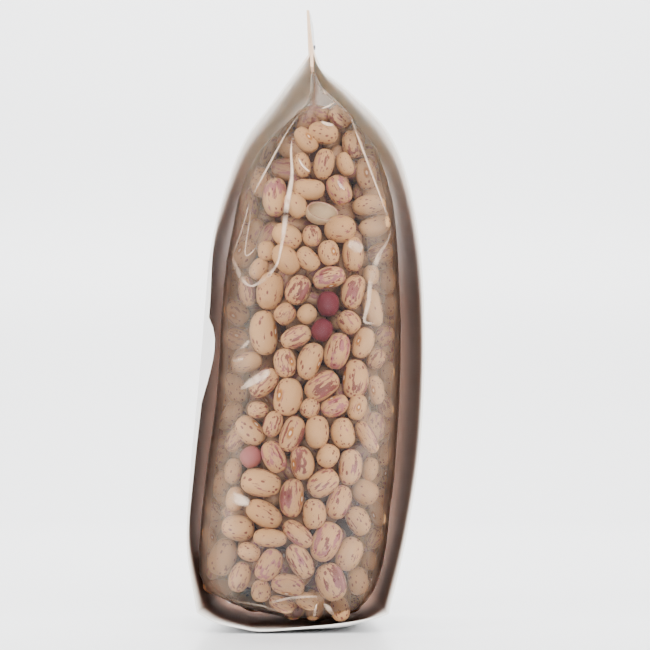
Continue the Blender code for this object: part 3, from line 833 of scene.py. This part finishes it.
def build_seal_core():
    """What lies between the two plies in the seal: film and glue, showing at the cut ends."""
    bm = bmesh.new()
    half = SLEEVE_DEPTH / 2
    rows = []
    for depth_step in range(DEPTH_STEPS + 1):
        y = -half + SLEEVE_DEPTH * depth_step / DEPTH_STEPS
        bow = 1 - (y / half) ** 2
        y = max(min(y, half - SEAL_INSET), -half + SEAL_INSET)
        row = []
        for z, low, high in SEAL_CORE:
            share = max(z - SEAL_FOOT_Z, 0.0) / (SEAL_TOP_Z - SEAL_FOOT_Z)
            shift = SEAL_BOW * smooth_rise(share, -0.5, 1.0) * bow
            row.append((Vector((low + shift, y, z)), Vector((high + shift, y, z))))
        rows.append(row)
    rings = []
    for row in rows:
        ring = [bm.verts.new(low) for low, high in row]
        ring += [bm.verts.new(high) for low, high in row[::-1]]
        rings.append([bm.edges.new(pair) for pair in zip(ring, ring[1:] + ring[:1])])
    for near, far in zip(rings, rings[1:]):
        bmesh.ops.bridge_loops(bm, edges=near + far)
    bmesh.ops.holes_fill(bm, edges=rings[0])
    bmesh.ops.holes_fill(bm, edges=rings[-1])
    bmesh.ops.recalc_face_normals(bm, faces=bm.faces)
    peach, brown = (0.80, 0.56, 0.38), (0.66, 0.42, 0.28)
    glued = two_toned("glued_plies", peach, brown, 900.0, 0.8, (1.0, 1.0, 0.15))
    finish_piece("seal_core", bm, [glued.made], smooth=False)


def build_staple():
    """The wire that closes the seal, lying on its right face with a cut end to the front."""
    bm = bmesh.new()
    bmesh.ops.create_cone(
        bm,
        cap_ends=True,
        segments=16,
        radius1=STAPLE_WIRE / 2,
        radius2=STAPLE_WIRE / 2,
        depth=STAPLE_LONG,
        matrix=Matrix.Rotation(math.pi / 2, 4, "X"),
    )
    bmesh.ops.translate(bm, verts=bm.verts, vec=STAPLE_AT)
    grey, dark = (0.28, 0.28, 0.29), (0.18, 0.18, 0.19)
    scuffed = two_toned("staple_wire", grey, dark, 2200.0, 0.4, (1.0, 0.2, 1.0), 2.0)
    scuffed.shader.inputs["Metallic"].default_value = 1.0
    finish_piece("staple_wire", bm, [scuffed.made], node="card_sleeve")


# Bag


def bag_at(z):
    """The bag's middle x, half width and half depth at heights z."""
    levels = np.array(BAG_LEVELS)
    return [np.interp(z, levels[:, 0], levels[:, column]) for column in (1, 2, 3)]


def keep_in_bag(points, gap):
    """Moves points that are closer than gap to the bag's skin back inside."""
    z = np.clip(points[:, 2], BAG_LEVELS[0][0] + gap, BEANS_TOP_Z - gap)
    middle, half_x, half_y = bag_at(z)
    half_x = np.maximum(half_x - gap, 0.5)
    half_y = np.maximum(half_y - gap, 0.5)
    reach = (np.abs(points[:, 0] - middle) / half_x) ** CORNER_POWER
    reach = (reach + (np.abs(points[:, 1]) / half_y) ** CORNER_POWER) ** (1 / CORNER_POWER)
    reach = np.maximum(reach, 1.0)
    x = middle + (points[:, 0] - middle) / reach
    return np.stack([x, points[:, 1] / reach, z], axis=1)


def close_pairs(points, owner, reach):
    """Pairs of points of different beans that are nearer than reach."""
    first = []
    second = []
    for start in range(0, len(points), PAIR_BLOCK):
        block = points[start : start + PAIR_BLOCK]
        apart = ((block[:, None, :] - points[None, :, :]) ** 2).sum(axis=2)
        i, j = np.nonzero(apart < reach * reach)
        i = i + start
        keep = (i < j) & (owner[i] != owner[j])
        first.append(i[keep])
        second.append(j[keep])
    return np.concatenate(first), np.concatenate(second)


def settle_beans():
    """Places the beans: each is a row of three balls, pushed off its neighbours and the skin."""
    rng = np.random.default_rng(SEED)
    sizes = rng.normal(1.0, BEAN_SPREAD, BEAN_COUNT)
    sizes = np.clip(sizes, SMALLEST_BEAN, LARGEST_BEAN)
    centres = np.zeros((BEAN_COUNT, 3))
    low, high = BAG_LEVELS[0][0], BEANS_TOP_Z
    placed = 0
    while placed < BEAN_COUNT:
        x, y = (rng.uniform(-START_REACH, START_REACH) for side in range(2))
        spot = np.array([x, y, rng.uniform(low, high)])
        if np.abs(keep_in_bag(spot[None, :], START_GAP)[0] - spot).max() < 1e-9:
            centres[placed] = spot
            placed += 1
    along = rng.normal(size=(BEAN_COUNT, 3))
    along /= np.linalg.norm(along, axis=1)[:, None]
    ball = (BEAN_WIDE + BEAN_THICK) / 4 * sizes
    arm = (BEAN_LONG / 2 * sizes - ball)[:, None]
    owner = np.repeat(np.arange(BEAN_COUNT), 3)
    radius = ball[owner]
    for step in range(SETTLE_STEPS):
        balls = np.stack([centres - arm * along, centres, centres + arm * along], axis=1)
        balls = balls.reshape(-1, 3)
        if step % PAIRS_EVERY == 0:
            i, j = close_pairs(balls, owner, 2 * radius.max() + 1.0)
        gap = balls[j] - balls[i]
        apart = np.linalg.norm(gap, axis=1)
        lap = radius[i] + radius[j] - apart
        pressed = lap > 0
        push = gap[pressed] / np.maximum(apart[pressed], 1e-6)[:, None]
        push = push * (0.5 * lap[pressed])[:, None]
        shift = np.zeros_like(balls)
        touched = np.zeros(len(balls))
        for ball, side in ((i[pressed], -1.0), (j[pressed], 1.0)):
            np.add.at(shift, ball, side * push)
            np.add.at(touched, ball, 1.0)
        shift /= np.maximum(touched, 1.0)[:, None] ** 0.5
        walled = keep_in_bag(balls + shift, radius)
        new = walled.reshape(BEAN_COUNT, 3, 3)
        centres = new.mean(axis=1)
        along = new[:, 2] - new[:, 0]
        along /= np.linalg.norm(along, axis=1)[:, None]
        centres = np.round(centres, 5)
        along = np.round(along, 6)
    return centres, along, sizes


class Bean:
    """Where one bean lies: its middle, its three directions and sizes, and its eye's turn."""

    def __init__(self, centre, along, broad, size, eye, marks, deep=0.0):
        self.centre = Vector(centre)
        self.along = Vector(along).normalized()
        self.broad = (Vector(broad) - Vector(broad).dot(self.along) * self.along).normalized()
        self.thin = self.broad.cross(self.along).normalized()
        self.size = size
        self.eye = eye
        self.marks = marks
        self.deep = deep


def depth_on_sight_line(direction, gap):
    """The first point on the sight line that is gap inside the bag's skin, or else the point
    where the line passes nearest to the bag."""
    best = None
    for step in range(SIGHT_STEPS):
        far = (-SLEEVE_DEPTH / 2 + step * SIGHT_STEP - CAMERA_AT.y) / direction.y
        at = CAMERA_AT + direction * far
        inside = keep_in_bag(np.array([at]), gap)[0]
        off = (Vector(inside) - at).length
        if best is None or off < best[0] - 1e-6:
            best = (off, Vector(inside))
        if off < 1e-6:
            break
    return best[1]


def shown_bean(x, y, long, wide, lean, marks, eye=180, behind=0.0):
    """A bean that the photograph shows, put where its sight line meets the bag."""
    long, wide = long * SHOWN_GROWTH, wide * SHOWN_GROWTH
    direction = sight_line(x, y)
    thick = wide * FLATTER
    centre = depth_on_sight_line(direction, thick / 2 + behind)
    lean = math.radians(lean)
    along = Vector((math.cos(lean), 0.0, math.sin(lean)))
    broad = direction.cross(along)
    return Bean(centre, along, broad, (long, wide, thick), math.radians(eye), MARKS[marks])


def packed_beans(shown):
    """The rest of the beans that lie near the skin, those that would cut a shown one moved in
    behind it."""
    rng = np.random.default_rng(SEED + 1)
    centres, along, sizes = settle_beans()
    near = np.abs(keep_in_bag(centres, SEEN_DEPTH) - centres).max(axis=1) > 1e-6
    held = np.array([bean.centre for bean in shown])
    held_radius = np.array([(bean.size[0] + 2 * bean.size[1]) / 6 for bean in shown])
    beans = []
    for number in np.nonzero(near)[0]:
        x, y, z = centres[number]
        left_line, right_line = FOOT_LINES
        lowest = max(left_line[0] + left_line[1] * x, right_line[0] + right_line[1] * x)
        if y < 0 and z < lowest + BEAN_THICK / 2:
            continue
        turn = rng.uniform(0, 2 * math.pi)
        eye = rng.uniform(0, 2 * math.pi)
        marks = list(MARKS.values())[1 + rng.integers(4)]
        stretch = rng.normal(1.0, LONG_SPREAD)
        own_radius = BEAN_RADIUS * sizes[number]
        for step in range(BEHIND_STEPS):
            apart = np.linalg.norm(held - centres[number], axis=1)
            if (apart > MAY_LAP * (held_radius + own_radius)).all():
                break
            centres[number, 1] += BEHIND_STEP
        else:
            continue
        # How far in the bean lies sets its painted shade
        out = Vector(centres[number] - keep_in_bag(centres[number : number + 1], DARKER_FROM)[0])
        deep = 1.0 - smooth_rise(max(abs(side) for side in out), 0.0, DARKER_REACH)
        axis = Vector(along[number])
        broad = out.cross(axis) if out.length > 0.1 else axis.orthogonal()
        broad = Matrix.Rotation(ROLL * math.sin(turn), 3, axis) @ broad
        size = tuple(sizes[number] * side for side in (BEAN_LONG * stretch, BEAN_WIDE, BEAN_THICK))
        beans.append(Bean(centres[number], axis, broad, size, eye, marks, deep))
    return beans


def add_bean(bm, layers, bean, rng):
    """One bean: a ball with few sides, drawn out, filled at the ends and bent like a kidney."""
    long, wide, thick = bean.size
    bend = rng.uniform(*BEAN_BEND) * long
    fat = rng.uniform(-ENDS_UNEVEN, ENDS_UNEVEN)
    drawn = Vector(rng.uniform(0, 1, 3))
    eye_x, eye_y = math.sin(bean.eye), math.cos(bean.eye)
    made = bmesh.ops.create_uvsphere(
        bm, u_segments=BEAN_SIDES, v_segments=BEAN_RINGS, radius=1.0
    )["verts"]
    to_eye = bean.broad * eye_x + bean.thin * eye_y
    for v in made:
        a, b, c = v.co
        level = max(1 - c * c, 0.0)
        fill = 0.0
        if level > 1e-6:
            fill = (1 - abs(c) ** FULL_POWER) ** FULL_ROOT / level**0.5
        fill *= FULLER * (1 + fat * c)
        v[layers["bean_place"]] = Vector((a * eye_x + b * eye_y, a * eye_y - b * eye_x, c))
        v[layers["bean_draw"]] = drawn
        v[layers["bean_marks"]] = Vector(bean.marks)
        v[layers["bean_painted_shade"]] = bean.deep
        at = bean.centre + bean.broad * (a * fill * wide / 2) + bean.thin * (b * fill * thick / 2)
        at += bean.along * (c * (LONGER - BLUNTER * c**4) * long / 2)
        v.co = at + to_eye * bend * (c * c - BEND_MIDDLE)


def bean_piece(name, beans, skin, seed):
    """All the beans of one kind as one piece."""
    rng = np.random.default_rng(seed)
    bm = bmesh.new()
    layers = {
        key: bm.verts.layers.float_vector.new(key)
        for key in ("bean_place", "bean_draw", "bean_marks")
    }
    layers["bean_painted_shade"] = bm.verts.layers.float.new("bean_painted_shade")
    for bean in beans:
        add_bean(bm, layers, bean, rng)
    # A bean's three directions turn its ball inside out
    bm.normal_update()
    bmesh.ops.recalc_face_normals(bm, faces=bm.faces)
    piece = bag_piece(name, bm, [skin])
    subdivide(piece, 1)
    return piece


def build_husk(bean):
    """An empty half of a bean's skin, open to the front, its torn rim dark."""
    bm = bmesh.new()
    shell = bmesh.ops.create_uvsphere(bm, u_segments=28, v_segments=16, radius=1.0)["verts"]
    long, wide, thick = bean.size
    for v in shell:
        a, b, c = v.co
        v.co = bean.centre + bean.broad * (a * wide / 2) + bean.thin * (b * thick / 2)
        v.co += bean.along * (c * long / 2)
    opens = Vector(HUSK_OPENS).normalized()
    bmesh.ops.bisect_plane(
        bm,
        geom=bm.verts[:] + bm.edges[:] + bm.faces[:],
        plane_co=bean.centre + opens * HUSK_OPEN_AT,
        plane_no=opens,
        clear_outer=True,
    )
    bmesh.ops.recalc_face_normals(bm, faces=bm.faces)
    inside = two_toned("dry_husk", (0.58, 0.43, 0.26), (0.44, 0.30, 0.17), 420.0, 0.6)
    rim = two_toned("husk_rim", (0.34, 0.09, 0.08), (0.55, 0.36, 0.24), 420.0, 0.6)
    piece = bag_piece("bean_husk", bm, [inside.made, rim.made])
    wall = piece.modifiers.new("skin", "SOLIDIFY")
    wall.thickness = HUSK_WALL * MM
    wall.offset = -1.0
    wall.material_offset_rim = 1
    return piece


def skin_rings(heights, sides, inset):
    """A tube of rings round the bag, joined from bottom to top and closed at both ends."""
    bm = bmesh.new()
    bm.verts.layers.float.new("film_haze")
    rings = []
    circles = []
    for z in heights:
        middle, half_x, half_y = bag_at(z)
        circle = bmesh.ops.create_circle(bm, segments=sides, radius=1.0)["verts"]
        for v in circle:
            x, y = v.co.x, v.co.y
            reach = (abs(x) ** CORNER_POWER + abs(y) ** CORNER_POWER) ** (1 / CORNER_POWER)
            wide = max(half_x - inset, 0.4)
            deep = max(half_y - inset, 0.4)
            v.co = Vector((middle + wide * x / reach, deep * y / reach, z))
        rings.append(list({edge for v in circle for edge in v.link_edges}))
        circles.append(circle)
    bmesh.ops.holes_fill(bm, edges=rings[0])
    bmesh.ops.holes_fill(bm, edges=rings[-1])
    for lower, upper in zip(rings, rings[1:]):
        bmesh.ops.bridge_loops(bm, edges=lower + upper)
    bmesh.ops.recalc_face_normals(bm, faces=bm.faces)
    return bm, circles


def build_core():
    """A dark body inside the heap, behind the beans that show: painted shade standing in for the
    beans deeper in.
    """
    heights = np.linspace(BAG_LEVELS[0][0] + CORE_DEPTH, BEANS_TOP_Z - CORE_DEPTH, CORE_LEVELS)
    bm = skin_rings(heights, CORE_SIDES, CORE_DEPTH)[0]
    # Painted shade in dark browns
    inside = two_toned("shaded_inside", (0.09, 0.042, 0.033), (0.16, 0.082, 0.063), 120.0, 0.9)
    bag_piece("heap_core", bm, [inside.made])


def build_film(bean_pieces):
    """The film: drawn tight over the beans like a skin under tension."""
    heights = np.linspace(BAG_LEVELS[0][0], BAG_LEVELS[-1][0], FILM_LEVELS)
    bm, circles = skin_rings(heights, FILM_SIDES, -FILM_GAP)
    depsgraph = bpy.context.evaluated_depsgraph_get()
    trees = [BVHTree.FromObject(piece, depsgraph) for piece in bean_pieces]
    sunk = np.zeros((FILM_LEVELS, FILM_SIDES))
    outward = []
    for row, circle in enumerate(circles):
        middle = float(bag_at(heights[row])[0])
        for column, v in enumerate(circle):
            out = Vector((v.co.x - middle, v.co.y * DEEP_SHARE, 0.0)).normalized()
            outward.append(out)
            deepest = FILM_SAG * (1 - smooth_rise(heights[row], *NECK_TIGHT))
            start = (v.co + out * CAST_FROM - MIDDLE) * MM
            for tree in trees:
                met = tree.ray_cast(start, -out, (deepest + CAST_FROM) * MM)
                if met[0] is not None:
                    deepest = min(deepest, met[3] / MM - CAST_FROM - FILM_GAP)
            sunk[row, column] = deepest
    held = sunk.copy()
    for step in range(FILM_TENSION_STEPS):
        near = np.roll(sunk, 1, axis=1) + np.roll(sunk, -1, axis=1)
        near[1:-1] += sunk[2:] + sunk[:-2]
        near[1:-1] /= 4
        near[[0, -1]] /= 2
        sunk = np.minimum(held, near)
    sunk = np.maximum(sunk, -CAST_FROM)
    haze = bm.verts.layers.float["film_haze"]
    for row, circle in enumerate(circles):
        gathered = smooth_rise(heights[row], *NECK_GATHERED)
        for column, v in enumerate(circle):
            out = outward[row * FILM_SIDES + column]
            v.co -= out * float(sunk[row, column])
            flank = FLANK_HAZE * smooth_rise(abs(out.x), *FLANK_TURN)
            if out.x < 0:
                flank *= LEFT_HAZIER
            v[haze] = max(flank, NECK_HAZE * gathered)
    return bag_piece("clear_film_bag", bm, [film_material((0.97, 0.96, 0.95))])


def on_film(tree, x, y, lift):
    """The point of the film that a point of the photograph's frame shows, lifted off it."""
    direction = sight_line(x, y)
    start = (CAMERA_AT - MIDDLE) * MM
    met = tree.ray_cast(start, direction)[0]
    if met is None:
        met = tree.find_nearest(start + direction * (CAMERA_AT.length * MM))[0]
    return met / MM + MIDDLE - direction * lift


def build_creases(film):
    """Narrow strips on the film, each a low ridge with feathered ends, carrying painted highlights
    on folds and glints, and painted shade in folds.
    """
    tree = BVHTree.FromObject(film, bpy.context.evaluated_depsgraph_get())
    bm = bmesh.new()
    strength = bm.verts.layers.float.new("crease_strength")
    shade = bm.verts.layers.float.new("crease_shade")
    folds = [(0.0, *fold) for fold in PAINTED_HIGHLIGHTS] + [(1.0, *fold) for fold in PAINTED_SHADE_FOLDS]
    for tone, strong, points in folds:
        line = curve_through(points, CREASE_STEPS)
        previous = None
        strip = []
        for number, (x, y, wide) in enumerate(line):
            before = line[max(number - 1, 0)]
            after = line[min(number + 1, len(line) - 1)]
            run = Vector((after[0] - before[0], after[1] - before[1])).normalized()
            side = Vector((-run.y, run.x)) * wide / 2
            t = number / (len(line) - 1)
            fade = min(1.0, 6 * t, 6 * (1 - t))
            row = []
            for share, lift in CREASE_SECTION:
                v = bm.verts.new(on_film(tree, x + side.x * share, y + side.y * share, lift))
                v[strength] = strong * fade * (1.0 if abs(share) < 1 else 0.2)
                v[shade] = tone
                row.append(v)
            edges = [bm.edges.new(pair) for pair in zip(row, row[1:])]
            if previous:
                strip += bmesh.ops.bridge_loops(bm, edges=previous + edges)["faces"]
            previous = edges
        bmesh.ops.recalc_face_normals(bm, faces=strip)
        if sum(face.normal.y for face in strip) > 0:
            bmesh.ops.reverse_faces(bm, faces=strip)
    bag_piece("film_creases", bm, [crease_material()])


# Stage


def build_stage():
    """A pale sweep: floor, curve and back wall in one sheet."""
    bm = bmesh.new()
    wide, front, back, curve, high, curve_steps = 4000.0, -3000.0, 1200.0, 500.0, 2600.0, 16
    line = [(front, 0.0), (back, 0.0)]
    for step in range(1, curve_steps + 1):
        turn = math.pi / 2 * step / curve_steps
        line.append((back + curve * math.sin(turn), curve * (1 - math.cos(turn))))
    line.append((back + curve, high))
    edge = [bm.verts.new((-wide, y, z)) for y, z in line]
    edges = [bm.edges.new(pair) for pair in zip(edge, edge[1:])]
    grown = bmesh.ops.extrude_edge_only(bm, edges=edges)["geom"]
    verts = [g for g in grown if isinstance(g, bmesh.types.BMVert)]
    bmesh.ops.translate(bm, verts=verts, vec=(2 * wide, 0.0, 0.0))
    bmesh.ops.recalc_face_normals(bm, faces=bm.faces)
    nodes = Nodes("pale_sweep")
    nodes.shader.inputs["Base Color"].default_value = (0.90, 0.905, 0.915, 1.0)
    nodes.shader.inputs["Roughness"].default_value = 0.28
    nodes.shader.inputs["Specular IOR Level"].default_value = 0.35
    made_object("studio_sweep", bm, [nodes.made])


def add_light(name, at, aim, size, power, mirrored=True):
    light = bpy.data.lights.new(name, "AREA")
    light.shape = "RECTANGLE"
    light.size, light.size_y = size
    light.energy = power
    thing = bpy.data.objects.new(name, light)
    thing.location = at
    thing.rotation_euler = (Vector(aim) - Vector(at)).to_track_quat("-Z", "Y").to_euler()
    thing.visible_glossy = mirrored
    bpy.context.scene.collection.objects.link(thing)


def build_lights():
    add_light("top_softbox", (0.0, -0.1, 1.3), (0.0, 0.0, 0.1), (1.4, 1.2), 18.0)
    add_light("front_softbox", (0.15, -1.25, 0.85), (0.0, 0.0, 0.09), (1.0, 0.5), 20.0, False)
    add_light("left_softbox", (-1.0, -0.95, 0.55), (0.0, 0.0, 0.1), (0.5, 0.6), 18.0, False)
    add_light("right_softbox", (1.0, -1.0, 0.55), (0.0, 0.0, 0.1), (0.5, 0.6), 15.0, False)
    add_light("sweep_light", (0.0, 0.6, 1.6), (0.0, 1.6, 0.3), (2.4, 0.6), 85.0)
    world = bpy.data.worlds.new("studio")
    world.use_nodes = True
    world.node_tree.nodes["Background"].inputs["Color"].default_value = (0.98, 0.985, 1.0, 1.0)
    world.node_tree.nodes["Background"].inputs["Strength"].default_value = 0.9
    bpy.context.scene.world = world


def build_camera():
    camera = bpy.data.cameras.new("camera")
    camera.sensor_width = SENSOR_MM
    camera.lens = FOCAL_PIXELS / FRAME_PIXELS * SENSOR_MM
    camera.clip_start = 0.05
    thing = bpy.data.objects.new("camera", camera)
    thing.location = (CAMERA_AT - MIDDLE) * MM
    thing.rotation_euler = (math.pi / 2 + CAMERA_PITCH, 0.0, 0.0)
    bpy.context.scene.collection.objects.link(thing)
    bpy.context.scene.camera = thing


def build_bag():
    """The beans, the husk, the dark body of painted shade inside the heap, and the film drawn
    over them.
    """
    shown = [shown_bean(*row) for row in SHOWN_BEANS]
    crimson = [shown_bean(*row) for row in CRIMSON_BEANS]
    pink = [shown_bean(*row) for row in PINK_BEANS]
    tan = [shown_bean(*row) for row in TAN_BEANS]
    husk = shown_bean(*HUSK)
    room = shown_bean(*HUSK)
    room.size = tuple(HUSK_ROOM * side for side in room.size)
    packed = packed_beans(shown + crimson + pink + tan + [room])
    cream, cream_2 = (0.66, 0.40, 0.19), (0.515, 0.285, 0.128)
    maroon, mauve = (0.15, 0.022, 0.035), (0.36, 0.11, 0.14)
    speckled = bean_skin("speckled_skin", cream, cream_2, maroon, mauve, 1.0)
    red = bean_skin("crimson_skin", (0.17, 0.03, 0.042), (0.12, 0.018, 0.03), maroon, mauve, 0.0)
    rose = bean_skin("rose_skin", (0.42, 0.15, 0.14), (0.34, 0.10, 0.10), maroon, mauve, 0.0)
    brown = bean_skin("tan_skin", (0.50, 0.27, 0.13), (0.42, 0.21, 0.10), maroon, mauve, 0.0)
    pieces = [
        bean_piece("speckled_beans_in_front", shown, speckled, 21),
        bean_piece("speckled_beans_around", packed, speckled, 22),
        bean_piece("crimson_beans", crimson, red, 23),
        bean_piece("rose_bean", pink, rose, 24),
        bean_piece("tan_bean", tan, brown, 25),
        build_husk(husk),
    ]
    build_core()
    bpy.context.view_layer.update()
    film = build_film(pieces)
    build_creases(film)


build_camera()
build_stage()
build_lights()
build_sleeve()
build_seal_core()
build_staple()
build_bag()
